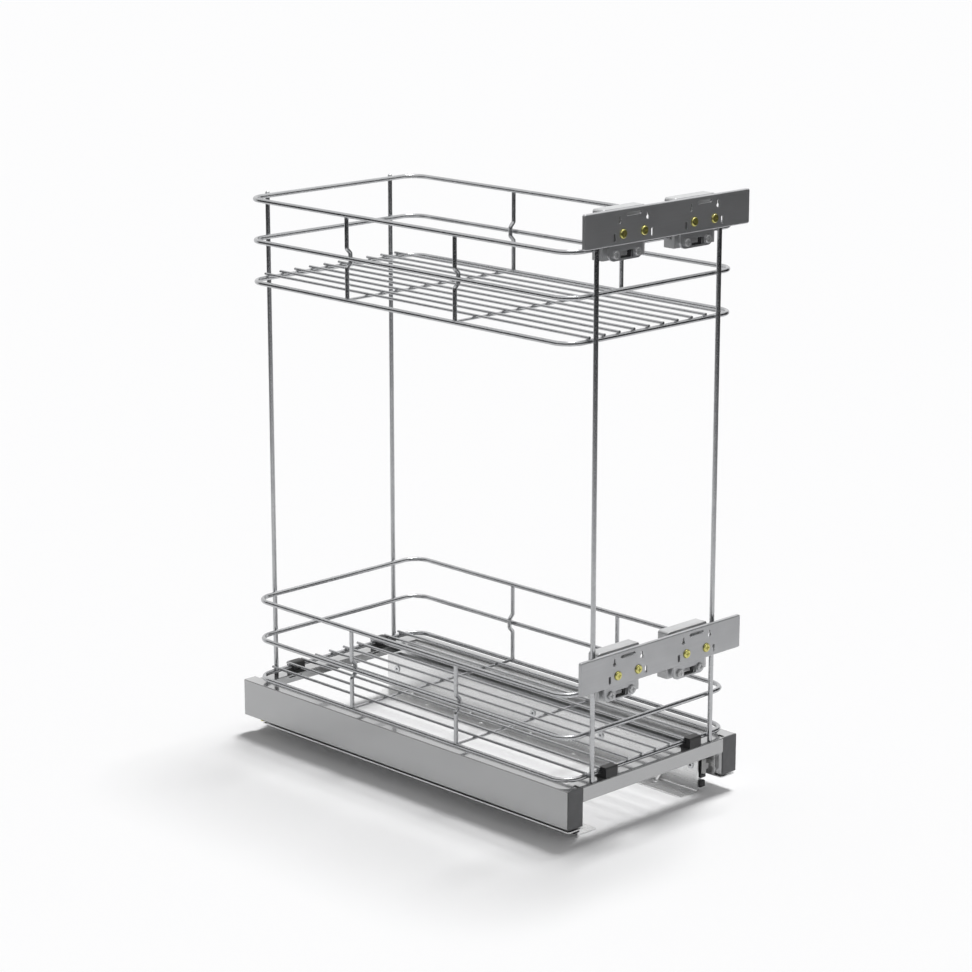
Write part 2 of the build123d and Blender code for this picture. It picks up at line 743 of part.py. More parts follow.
def wire_clip(x, inward):
    """Clip that grips the rim wire; its foot passes through the cross-member."""
    member_y = cover_front_y if inward > 0 else rear_member_y
    front_y = member_y + inward * clip_front_setback
    outer_y = clip_outer_y(inward)
    inner_y = outer_y + 2 * inward * (rim_radius + clip_wall)
    pad_y = inner_y + inward * clip_pad_reach
    foot_y = outer_y + inward * clip_foot_thickness
    low_x = x - clip_width / 2
    high_x = x + clip_width / 2
    seat_z = cover_top_z + face_gap
    pad_z = cover_top_z + clip_pad_thickness
    bar(
        (low_x, min(front_y, inner_y), seat_z),
        (high_x, max(front_y, inner_y), lower_basket_z + rim_radius + clip_top),
    )
    bar((low_x, min(outer_y, pad_y), seat_z), (high_x, max(outer_y, pad_y), pad_z))
    bar((low_x, min(outer_y, foot_y), cover_top_z - clip_foot), (high_x, max(outer_y, foot_y), pad_z))
    with Locations(Location((x, rim_end_y(inward), lower_basket_z), (0, 90, 0))):
        Cylinder(rim_radius + clip_play, 2 * clip_width, mode=Mode.SUBTRACT)


with BuildPart() as wire_clips:
    for x in (-clip_x, clip_x):
        for inward in (1, -1):
            wire_clip(x, inward)
    top_edges = edges().filter_by(Axis.X).group_by(Axis.Z)[-1].group_by(Axis.Y)
    fillet(top_edges[0] + top_edges[-1], clip_corner_radius)
    top_edges = edges().filter_by(Axis.X).group_by(Axis.Z)[-1].group_by(Axis.Y)
    fillet(top_edges[1] + top_edges[-2], clip_back_radius)


def post(x, y):
    """Round upright with a domed top, welded to the outside of the rims."""
    top_z = upper_top_rim_z + post_overshoot
    with BuildPart() as upright:
        with Locations((x, y, (cover_top_z + face_gap + top_z) / 2)):
            Cylinder(post_wire / 2, top_z - cover_top_z - face_gap)
        fillet(edges().filter_by(GeomType.CIRCLE).group_by(Axis.Z)[-1], post_wire / 2 - post_top_flat)
    return upright


front_left_post = post(-post_x, rim_front_y - post_distance)
front_right_post = post(post_x, rim_front_y - post_distance)
rear_left_post = post(-post_x, rim_rear_y + post_distance)
rear_right_post = post(post_x, rim_rear_y + post_distance)


def rim(z):
    """Closed rectangular wire with rounded corners."""
    with BuildPart() as loop:
        with BuildLine(Plane.XY.offset(z)) as path:
            FilletPolyline(
                (-rim_half_width, rim_front_y),
                (rim_half_width, rim_front_y),
                (rim_half_width, rim_rear_y),
                (-rim_half_width, rim_rear_y),
                radius=rim_corner_radius,
                close=True,
            )
        with BuildSketch(Plane(origin=path.line @ 0, z_dir=path.line % 0)):
            Circle(rim_radius)
        sweep()
    return loop


lower_bottom_rim = rim(lower_basket_z)
lower_middle_rim = rim(lower_basket_z + rim_pitch)
lower_top_rim = rim(lower_top_rim_z)
upper_bottom_rim = rim(upper_basket_z)
upper_middle_rim = rim(upper_basket_z + rim_pitch)
upper_top_rim = rim(upper_top_rim_z)


def struts(basket_z):
    """Four uprights between the rims, each with a joggle round the middle rim."""
    joggle = rim_radius + strut_wire / 2 + weld_gap
    low_z = basket_z + rim_radius + weld_gap
    high_z = basket_z + 2 * rim_pitch - rim_radius - weld_gap
    middle_z = basket_z + rim_pitch
    with BuildPart() as group:
        for side in (-1, 1):
            for y in (rim_centre_y - strut_spacing / 2, rim_centre_y + strut_spacing / 2):
                near_x = side * rim_half_width
                far_x = side * (rim_half_width - joggle)
                with BuildLine():
                    path = FilletPolyline(
                        (near_x, y, low_z),
                        (near_x, y, middle_z - strut_joggle_height),
                        (far_x, y, middle_z - strut_joggle_height / 2),
                        (far_x, y, middle_z + strut_joggle_height / 2),
                        (near_x, y, middle_z + strut_joggle_height),
                        (near_x, y, high_z),
                        radius=strut_bend_radius,
                    )
                with BuildSketch(Plane.XY.offset(low_z)):
                    with Locations((near_x, y)):
                        Circle(strut_wire / 2)
                sweep(path=path)
    return group


def shelf_wires(basket_z):
    """Lengthwise wires that lie on the front and rear wires of the bottom rim."""
    front_y = rim_front_y - rim_radius
    rear_y = rim_rear_y + rim_radius + shelf_rear_overhang
    with BuildPart() as group:
        with BuildSketch(Plane.XZ.offset(-front_y)):
            with Locations((0, basket_z + shelf_wire_rise)):
                with GridLocations(shelf_wire_pitch, 0, shelf_wire_count, 1):
                    Circle(shelf_wire / 2)
        extrude(amount=-(rear_y - front_y))
    return group


lower_struts = struts(lower_basket_z)
upper_struts = struts(upper_basket_z)
lower_shelf_wires = shelf_wires(lower_basket_z)
upper_shelf_wires = shelf_wires(upper_basket_z)

# Two wires across each basket, under the lengthwise ones, that end on the side wires of the rim
with BuildPart() as cross_wires:
    with BuildSketch(Plane.YZ.offset(-cross_wire_half_length)):
        for basket_z in (lower_basket_z, upper_basket_z):
            with Locations((rim_centre_y, basket_z + cross_wire_rise)):
                with GridLocations(strut_spacing, 0, 2, 1):
                    Circle(shelf_wire / 2)
    extrude(amount=2 * cross_wire_half_length)


adjuster_xs = (-adjuster_x, adjuster_x)
plate_screw_xs = [x + side * adjuster_screw_spacing / 2 for x in adjuster_xs for side in (-1, 1)]


def front_plate(rim_z):
    """Long slotted plate with a return on each edge."""
    low_z = rim_z + plate_above_rim
    high_z = low_z + plate_height
    half = plate_width / 2
    with BuildPart() as plate:
        with BuildSketch(section_plane(plate_front_y)):
            with Locations((0, (low_z + high_z) / 2)):
                RectangleRounded(plate_width, plate_height, plate_corner_radius)
        extrude(amount=-plate_return)
        with BuildSketch(section_plane(plate_back_y)):
            with Locations((0, (low_z + high_z) / 2)):
                Rectangle(2 * (half - plate_sheet), plate_height - 2 * plate_sheet)
        extrude(amount=-plate_return, mode=Mode.SUBTRACT)
        fillet(faces().sort_by(Axis.Y)[0].outer_wire().edges(), plate_edge_radius)
        with BuildSketch(section_plane(plate_front_y)):
            for x in adjuster_xs:
                with Locations((x, rim_z + long_slot_height)):
                    SlotOverall(long_slot_length, long_slot_width)
                with Locations((x, rim_z + side_slot_height)):
                    with GridLocations(side_slot_spacing, 0, 2, 1):
                        SlotOverall(side_slot_length, side_slot_width, rotation=90)
                with Locations((x, rim_z + keyhole_height)):
                    with GridLocations(keyhole_spacing, 0, 2, 1):
                        Circle(keyhole_radius)
                with Locations((x, rim_z + keyhole_height + keyhole_rise / 2)):
                    with GridLocations(keyhole_spacing, 0, 2, 1):
                        SlotOverall(keyhole_rise + keyhole_neck, keyhole_neck, rotation=90)
        extrude(amount=-plate_sheet, mode=Mode.SUBTRACT)
        for x in plate_screw_xs:
            with Locations(Location((x, plate_front_y, rim_z + adjuster_screw_height), (90, 0, 0))):
                CounterBoreHole(
                    screw_shank_radius + screw_play,
                    plate_head_radius + screw_play,
                    plate_seat_depth,
                    depth=2 * plate_sheet,
                )
    return plate


def plate_screws(rim_z):
    """Yellow-zinc screws sunk in the plate, with their shanks through the sliders."""
    z = rim_z + adjuster_screw_height
    head_back_y = plate_front_y + plate_seat_depth
    head_front_y = plate_front_y - plate_head_proud
    with BuildPart() as group:
        for x in plate_screw_xs:
            with Locations(Location((x, (head_front_y + head_back_y) / 2, z), (90, 0, 0))):
                Cylinder(plate_head_radius, head_back_y - head_front_y)
            with Locations(Location((x, (head_back_y + plate_shank_rear_y) / 2, z), (90, 0, 0))):
                Cylinder(screw_shank_radius, plate_shank_rear_y - head_back_y)
        fillet(edges().filter_by(GeomType.CIRCLE).group_by(Axis.Y)[0], plate_head_edge_radius)
        for x in plate_screw_xs:
            cross_recess(x, head_front_y, z)
    return group


def plate_nuts(rim_z):
    """Hexagon nuts behind the sliders."""
    with BuildPart() as group:
        with BuildSketch(section_plane(slider_back_y + face_gap)):
            for x in plate_screw_xs:
                with Locations((x, rim_z + adjuster_screw_height)):
                    RegularPolygon(nut_width / 2, 6, major_radius=False)
                    Circle(screw_shank_radius + nut_thread_play, mode=Mode.SUBTRACT)
        extrude(amount=-nut_height)
    return group


def slider(x, rim_z):
    """Plate behind the front plate: level slots for the clamp screws, upright ones for the others."""
    pad_back_y = slider_front_y
    pad_front_y = plate_back_y + face_gap
    pad_half = height_travel + screw_shank_radius + screw_play + slider_pad_rim
    with BuildPart() as piece:
        with BuildSketch(section_plane(slider_front_y)) as outline:
            middle_z = rim_z + (housing_bottom + slider_top) / 2
            with Locations((x + slider_offset, middle_z)):
                Rectangle(slider_width, slider_top - housing_bottom)
            fillet(outline.vertices().group_by(Axis.Y)[0], slider_corner_radius)
            upper_middle_z = rim_z + (slider_shoulder + slider_top) / 2
            with Locations((x + slider_offset + slider_upper_overhang / 2, upper_middle_z)):
                Rectangle(slider_width + slider_upper_overhang, slider_top - slider_shoulder)
            fillet(outline.vertices().group_by(Axis.Y)[-1], plate_corner_radius)
            with Locations((x + slider_window_offset, rim_z + clamp_screw_height - slider_window_drop)):
                Rectangle(slider_window_width, slider_window_height, mode=Mode.SUBTRACT)
            for screw_x in (clamp_screw_left, clamp_screw_right):
                with Locations((x + screw_x, rim_z + clamp_screw_height)):
                    slot_length = 2 * (side_travel + screw_shank_radius + screw_play)
                    SlotOverall(slot_length, 2 * (screw_shank_radius + screw_play), mode=Mode.SUBTRACT)
        extrude(amount=-slider_sheet)
        with BuildSketch(section_plane(pad_back_y)):
            with Locations((x, rim_z + adjuster_screw_height)):
                with GridLocations(adjuster_screw_spacing, 0, 2, 1):
                    Rectangle(slider_pad_width, 2 * pad_half)
        extrude(amount=pad_back_y - pad_front_y)
        with BuildSketch(section_plane(pad_front_y)):
            with Locations((x, rim_z + adjuster_screw_height)):
                with GridLocations(adjuster_screw_spacing, 0, 2, 1):
                    slot_length = 2 * (height_travel + screw_shank_radius + screw_play)
                    SlotOverall(slot_length, 2 * (screw_shank_radius + screw_play), rotation=90)
        extrude(amount=-(slider_back_y - pad_front_y), mode=Mode.SUBTRACT)
    return piece


def housing(x, rim_z):
    """Cap, open at the back and below, that hangs on the rim's front wire."""
    low_x = x + housing_offset - housing_width / 2
    high_x = low_x + housing_width
    low_z = rim_z + housing_bottom
    high_z = rim_z + housing_top
    notch_y = rim_front_y - rim_radius - screw_play
    boss_length = adjuster_gap - face_gap
    with BuildPart() as piece:
        bar((low_x, housing_front_y, low_z), (high_x, housing_rear_y, high_z))
        fillet(edges().filter_by(Axis.Y).group_by(Axis.Z)[-1], housing_corner_radius)
        fillet(edges().filter_by(Axis.Z).group_by(Axis.Y)[0], housing_bend_radius)
        bar_low = (low_x + housing_sheet, housing_front_y + housing_sheet, low_z - housing_sheet)
        bar_high = (high_x - housing_sheet, housing_rear_y + housing_sheet, high_z - housing_sheet)
        size = [b - a for a, b in zip(bar_low, bar_high)]
        centre = [(a + b) / 2 for a, b in zip(bar_low, bar_high)]
        with Locations(tuple(centre)):
            Box(*size, mode=Mode.SUBTRACT)
        with BuildSketch(Plane.YZ.offset(low_x - housing_sheet)):
            with Locations(((notch_y + housing_rear_y + housing_sheet) / 2, rim_z)):
                Rectangle(housing_rear_y + housing_sheet - notch_y, rim_wire + 2 * screw_play)
        extrude(amount=housing_width + 2 * housing_sheet, mode=Mode.SUBTRACT)
        for screw_x in (clamp_screw_left, clamp_screw_right):
            place = (x + screw_x, housing_front_y - boss_length / 2, rim_z + clamp_screw_height)
            with Locations(Location(place, (90, 0, 0))):
                Cylinder(boss_radius, boss_length)
                Cylinder(screw_shank_radius + screw_play, 4 * boss_length, mode=Mode.SUBTRACT)
    return piece


def clamp_bar(x, rim_z):
    """Bar behind the rim wire, with threaded holes for the clamp screws."""
    front_y = rim_front_y + rim_radius + weld_gap
    middle_x = x + housing_offset
    half_width = housing_width / 2 - clamp_bar_inset
    top_z = rim_z + clamp_bar_top
    bar(
        (middle_x - half_width, front_y, top_z - clamp_bar_height),
        (middle_x + half_width, front_y + clamp_bar_sheet, top_z),
    )
    for screw_x in (clamp_screw_left, clamp_screw_right):
        place = (x + screw_x, front_y, rim_z + clamp_screw_height)
        with Locations(Location(place, (90, 0, 0))):
            Cylinder(screw_shank_radius + nut_thread_play, 4 * clamp_bar_sheet, mode=Mode.SUBTRACT)


def clamp_screw(x, rim_z):
    """Cross-head screw from the slider through the housing into the clamp bar."""
    z = rim_z + clamp_screw_height
    head_back_y = slider_front_y - face_gap
    head_front_y = head_back_y - clamp_screw_head_height
    tip_y = rim_front_y + rim_radius + weld_gap + clamp_bar_sheet + clamp_screw_tip
    with Locations(Location((x, (head_front_y + head_back_y) / 2, z), (90, 0, 0))):
        Cylinder(clamp_screw_head_radius, clamp_screw_head_height)
    with Locations(Location((x, (head_back_y + tip_y) / 2, z), (90, 0, 0))):
        Cylinder(screw_shank_radius, tip_y - head_back_y)


lower_front_plate = front_plate(lower_top_rim_z)
upper_front_plate = front_plate(upper_top_rim_z)
lower_plate_screws = plate_screws(lower_top_rim_z)
upper_plate_screws = plate_screws(upper_top_rim_z)
lower_plate_nuts = plate_nuts(lower_top_rim_z)
upper_plate_nuts = plate_nuts(upper_top_rim_z)

lower_left_slider = slider(-adjuster_x, lower_top_rim_z)
lower_right_slider = slider(adjuster_x, lower_top_rim_z)
upper_left_slider = slider(-adjuster_x, upper_top_rim_z)
upper_right_slider = slider(adjuster_x, upper_top_rim_z)
lower_left_housing = housing(-adjuster_x, lower_top_rim_z)
lower_right_housing = housing(adjuster_x, lower_top_rim_z)
upper_left_housing = housing(-adjuster_x, upper_top_rim_z)
upper_right_housing = housing(adjuster_x, upper_top_rim_z)

with BuildPart() as clamp_bars:
    for rim_z in (lower_top_rim_z, upper_top_rim_z):
        for x in adjuster_xs:
            clamp_bar(x, rim_z)

with BuildPart() as clamp_screws:
    for rim_z in (lower_top_rim_z, upper_top_rim_z):
        for x in adjuster_xs:
            for screw_x in (clamp_screw_left, clamp_screw_right):
                clamp_screw(x + screw_x, rim_z)
    head_front_y = slider_front_y - face_gap - clamp_screw_head_height
    front_rims = edges().filter_by(GeomType.CIRCLE).group_by(Axis.Y)[0]
    fillet(front_rims, clamp_screw_edge_radius)
    for rim_z in (lower_top_rim_z, upper_top_rim_z):
        for x in adjuster_xs:
            for screw_x in (clamp_screw_left, clamp_screw_right):
                cross_recess(x + screw_x, head_front_y, rim_z + clamp_screw_height)

pieces = {
    "left_floor_bracket": left_floor_bracket,
    "right_floor_bracket": right_floor_bracket,
    "left_fixed_rail": left_fixed_rail,
    "right_fixed_rail": right_fixed_rail,
    "rail_rivets": rail_rivets,
    "rail_stops": rail_stops,
    "left_intermediate_rail": left_intermediate_rail,
    "right_intermediate_rail": right_intermediate_rail,
    "rail_end_caps": rail_end_caps,
    "outer_ball_cages": outer_ball_cages,
    "outer_balls": outer_balls,
    "inner_ball_cages": inner_ball_cages,
    "inner_balls": inner_balls,
    "left_moving_rail": left_moving_rail,
    "right_moving_rail": right_moving_rail,
    "left_release_lever": left_release_lever,
    "right_release_lever": right_release_lever,
    "lever_pins": lever_pins,
    "left_carrier": left_carrier,
    "right_carrier": right_carrier,
    "carrier_screws": carrier_screws,
    "rear_buffers": rear_buffers,
    "left_side_cover": left_side_cover,
    "right_side_cover": right_side_cover,
    "cover_end_plates": cover_end_plates,
    "cover_screws": cover_screws,
    "front_cross_member": front_cross_member,
    "rear_cross_member": rear_cross_member,
    "wire_clips": wire_clips,
    "front_left_post": front_left_post,
    "front_right_post": front_right_post,
    "rear_left_post": rear_left_post,
    "rear_right_post": rear_right_post,
    "lower_bottom_rim": lower_bottom_rim,
    "lower_middle_rim": lower_middle_rim,
    "lower_top_rim": lower_top_rim,
    "upper_bottom_rim": upper_bottom_rim,
    "upper_middle_rim": upper_middle_rim,
    "upper_top_rim": upper_top_rim,
    "lower_struts": lower_struts,
    "upper_struts": upper_struts,
    "lower_shelf_wires": lower_shelf_wires,
    "upper_shelf_wires": upper_shelf_wires,
    "cross_wires": cross_wires,
    "lower_left_housing": lower_left_housing,
    "lower_right_housing": lower_right_housing,
    "upper_left_housing": upper_left_housing,
    "upper_right_housing": upper_right_housing,
    "clamp_bars": clamp_bars,
    "clamp_screws": clamp_screws,
    "lower_left_slider": lower_left_slider,
    "lower_right_slider": lower_right_slider,
    "upper_left_slider": upper_left_slider,
    "upper_right_slider": upper_right_slider,
    "lower_front_plate": lower_front_plate,
    "upper_front_plate": upper_front_plate,
    "lower_plate_screws": lower_plate_screws,
    "upper_plate_screws": upper_plate_screws,
    "lower_plate_nuts": lower_plate_nuts,
    "upper_plate_nuts": upper_plate_nuts,
}

for name, piece in pieces.items():
    piece.part.label = name
    export_step(piece.part, f"parts/{name}.step")
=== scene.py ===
"""Looks of the pull-out cargo basket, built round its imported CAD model. Metres, in the CAD's own frame."""

import math
import random

import bmesh
import bpy
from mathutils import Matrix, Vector


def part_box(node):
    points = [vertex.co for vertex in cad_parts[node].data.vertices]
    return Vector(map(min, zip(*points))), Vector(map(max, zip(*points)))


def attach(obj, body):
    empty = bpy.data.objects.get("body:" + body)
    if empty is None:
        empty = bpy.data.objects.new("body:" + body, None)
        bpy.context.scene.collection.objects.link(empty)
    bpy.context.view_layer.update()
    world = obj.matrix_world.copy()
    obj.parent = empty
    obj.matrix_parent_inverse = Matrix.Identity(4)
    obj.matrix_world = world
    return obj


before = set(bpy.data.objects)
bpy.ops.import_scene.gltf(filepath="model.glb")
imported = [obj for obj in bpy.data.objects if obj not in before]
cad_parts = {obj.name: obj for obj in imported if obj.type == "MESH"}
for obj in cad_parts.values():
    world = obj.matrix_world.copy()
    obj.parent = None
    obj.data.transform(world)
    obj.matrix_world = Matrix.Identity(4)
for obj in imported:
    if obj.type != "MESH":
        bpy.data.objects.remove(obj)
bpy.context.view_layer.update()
scene = bpy.context.scene
scene.view_settings.view_transform = "Standard"

# Camera
camera_place = (-2.0885, -2.1365, 1.0782)
camera_heading = 45.641
camera_pitch = 14.482
camera_lens = 108.16
camera_sensor_width = 36.0

# Light
sky_strength = 0.30
key_direction = (0.30, 0.06, 1.0)
key_strength = 2.3
key_angle = 15.0

# Floor, and the wall round the camera's side of the studio, dark above and pale at its foot
floor_half_size = 30.0
floor_color = (0.98, 0.98, 0.985)
bounce_color = (0.45, 0.45, 0.455)
wall_radius = 1.15
wall_bottom = 0.06
wall_fade_top = 0.34
wall_top = 1.0
wall_start = 118.0
wall_end = 352.0
wall_steps = 60
wall_color = (0.02, 0.02, 0.022)
wall_foot_color = (0.42, 0.42, 0.43)

# Colours of each finish, from patch to patch, and of the fine lines or grain in it
wire_colors = ((0.43, 0.435, 0.445), (0.50, 0.505, 0.515))
wire_grain_color = (0.36, 0.365, 0.375)
paint_colors = ((0.405, 0.407, 0.41), (0.44, 0.442, 0.445))
plate_colors = ((0.47, 0.475, 0.485), (0.53, 0.535, 0.545))
plate_line_color = (0.40, 0.405, 0.415)
zinc_colors = ((0.82, 0.82, 0.82), (0.90, 0.90, 0.90))
rail_colors = ((0.58, 0.59, 0.60), (0.68, 0.69, 0.70))
adjuster_colors = ((0.60, 0.605, 0.61), (0.68, 0.685, 0.69))
ball_colors = ((0.70, 0.70, 0.71), (0.82, 0.82, 0.83))
screw_colors = ((0.56, 0.56, 0.17), (0.70, 0.66, 0.22), (0.66, 0.58, 0.26))
screw_grain_color = (0.35, 0.33, 0.08)
black_colors = ((0.018, 0.018, 0.019), (0.035, 0.035, 0.036))
grey_colors = ((0.12, 0.123, 0.127), (0.16, 0.163, 0.168))
light_colors = ((0.76, 0.76, 0.75), (0.82, 0.82, 0.81))

# Lines and scratches of brushed metal, as parts of its darkest colour
brushed_line_shade = 0.8
brushed_scratch_shade = 0.7

# Noise textures: the range that their values mostly keep to, and the share of their finer waves
noise_low = 0.3
noise_high = 0.7
noise_roughness = 0.55

# Black toothed inserts in the sliders' windows, placed from each slider's low corner
insert_x = 0.025
insert_z = 0.0055
insert_half_width = 0.0084
insert_half_height = 0.00375
insert_depth = 0.002
insert_rib = 0.0018
insert_tooth = 0.0012
insert_teeth = 3

# Weld beads: the shape of one, as parts of its size, and the size at each kind of crossing
weld_seed = 7
weld_rings = 8
weld_sides = 14
weld_half_height = 0.5
weld_taper = 0.55
weld_saddle = 0.32
weld_unevenness = 0.05
shelf_rim_weld = 0.0017
shelf_cross_weld = 0.0013
cross_rim_weld = 0.0017
strut_end_weld = 0.0023
strut_middle_weld = 0.0019
post_weld = 0.0021
shelf_wire_count = 10

x_axis = (1, 0, 0)
y_axis = (0, 1, 0)
z_axis = (0, 0, 1)


def set_camera():
    data = bpy.data.cameras.new("camera")
    data.lens = camera_lens
    data.sensor_width = camera_sensor_width
    camera = bpy.data.objects.new("camera", data)
    camera.location = camera_place
    camera.rotation_euler = (math.radians(90 - camera_pitch), 0, math.radians(camera_heading - 90))
    scene.collection.objects.link(camera)
    scene.camera = camera


def add_key_light():
    data = bpy.data.lights.new("key", "SUN")
    data.energy = key_strength
    data.angle = math.radians(key_angle)
    lamp = bpy.data.objects.new("key", data)
    lamp.rotation_mode = "QUATERNION"
    lamp.rotation_quaternion = Vector(key_direction).to_track_quat("Z", "Y")
    scene.collection.objects.link(lamp)


def seen_directly(nodes, links):
    """1 where a camera, glossy or transmission ray arrives, and 0 for bounced light."""
    path = nodes.new("ShaderNodeLightPath")
    first = nodes.new("ShaderNodeMath")
    first.operation = "MAXIMUM"
    links.new(path.outputs["Is Camera Ray"], first.inputs[0])
    links.new(path.outputs["Is Glossy Ray"], first.inputs[1])
    second = nodes.new("ShaderNodeMath")
    second.operation = "MAXIMUM"
    links.new(first.outputs[0], second.inputs[0])
    links.new(path.outputs["Is Transmission Ray"], second.inputs[1])
    return second.outputs[0]


def set_world():
    """White where it is seen directly, and a weaker sky for the light it gives."""
    world = bpy.data.worlds.new("studio")
    world.use_nodes = True
    nodes, links = world.node_tree.nodes, world.node_tree.links
    background = nodes["Background"]
    background.inputs["Color"].default_value = (1, 1, 1, 1)
    strength = nodes.new("ShaderNodeMapRange")
    strength.inputs["To Min"].default_value = sky_strength
    strength.inputs["To Max"].default_value = 1.0
    links.new(seen_directly(nodes, links), strength.inputs["Value"])
    links.new(strength.outputs["Result"], background.inputs["Strength"])
    scene.world = world


def mesh_object(name, vertices, faces):
    mesh = bpy.data.meshes.new(name)
    mesh.from_pydata(vertices, [], faces)
    piece = bpy.data.objects.new(name, mesh)
    scene.collection.objects.link(piece)
    return piece


def add_floor():
    """Pale floor that is white where it is seen directly, and returns less light to the part."""
    edge = floor_half_size
    floor = mesh_object(
        "floor",
        [(-edge, -edge, 0), (edge, -edge, 0), (edge, edge, 0), (-edge, edge, 0)],
        [(0, 1, 2, 3)],
    )
    material = bpy.data.materials.new("floor")
    material.use_nodes = True
    nodes, links = material.node_tree.nodes, material.node_tree.links
    nodes.remove(nodes["Principled BSDF"])
    diffuse = nodes.new("ShaderNodeBsdfDiffuse")
    mix = nodes.new("ShaderNodeMix")
    mix.data_type = "RGBA"
    mix.inputs["A"].default_value = (*bounce_color, 1)
    mix.inputs["B"].default_value = (*floor_color, 1)
    links.new(seen_directly(nodes, links), mix.inputs["Factor"])
    links.new(mix.outputs["Result"], diffuse.inputs["Color"])
    links.new(diffuse.outputs[0], nodes["Material Output"].inputs["Surface"])
    floor.data.materials.append(material)


def wall_material():
    """Glow that fades from the pale foot of the wall to its dark upper part."""
    material = bpy.data.materials.new("wall")
    material.use_nodes = True
    nodes, links = material.node_tree.nodes, material.node_tree.links
    nodes.remove(nodes["Principled BSDF"])
    split = nodes.new("ShaderNodeSeparateXYZ")
    links.new(nodes.new("ShaderNodeTexCoord").outputs["Object"], split.inputs[0])
    height = nodes.new("ShaderNodeMapRange")
    height.inputs["From Min"].default_value = wall_bottom
    height.inputs["From Max"].default_value = wall_fade_top
    links.new(split.outputs["Z"], height.inputs["Value"])
    mix = nodes.new("ShaderNodeMix")
    mix.data_type = "RGBA"
    mix.inputs["A"].default_value = (*wall_foot_color, 1)
    mix.inputs["B"].default_value = (*wall_color, 1)
    links.new(height.outputs["Result"], mix.inputs["Factor"])
    glow = nodes.new("ShaderNodeEmission")
    links.new(mix.outputs["Result"], glow.inputs["Color"])
    links.new(glow.outputs[0], nodes["Material Output"].inputs["Surface"])
    return material


def add_wall():
    """Curved card that only reflections see, for dark edges on metal."""
    vertices = []
    for step in range(wall_steps + 1):
        turn = math.radians(wall_start + (wall_end - wall_start) * step / wall_steps)
        x = wall_radius * math.cos(turn)
        y = wall_radius * math.sin(turn)
        vertices += [(x, y, wall_bottom), (x, y, wall_top)]
    faces = [(first, first + 2, first + 3, first + 1) for first in range(0, 2 * wall_steps, 2)]
    wall = mesh_object("wall", vertices, faces)
    wall.data.materials.append(wall_material())
    wall.visible_camera = False
    wall.visible_diffuse = False
    wall.visible_transmission = False
    wall.visible_shadow = False


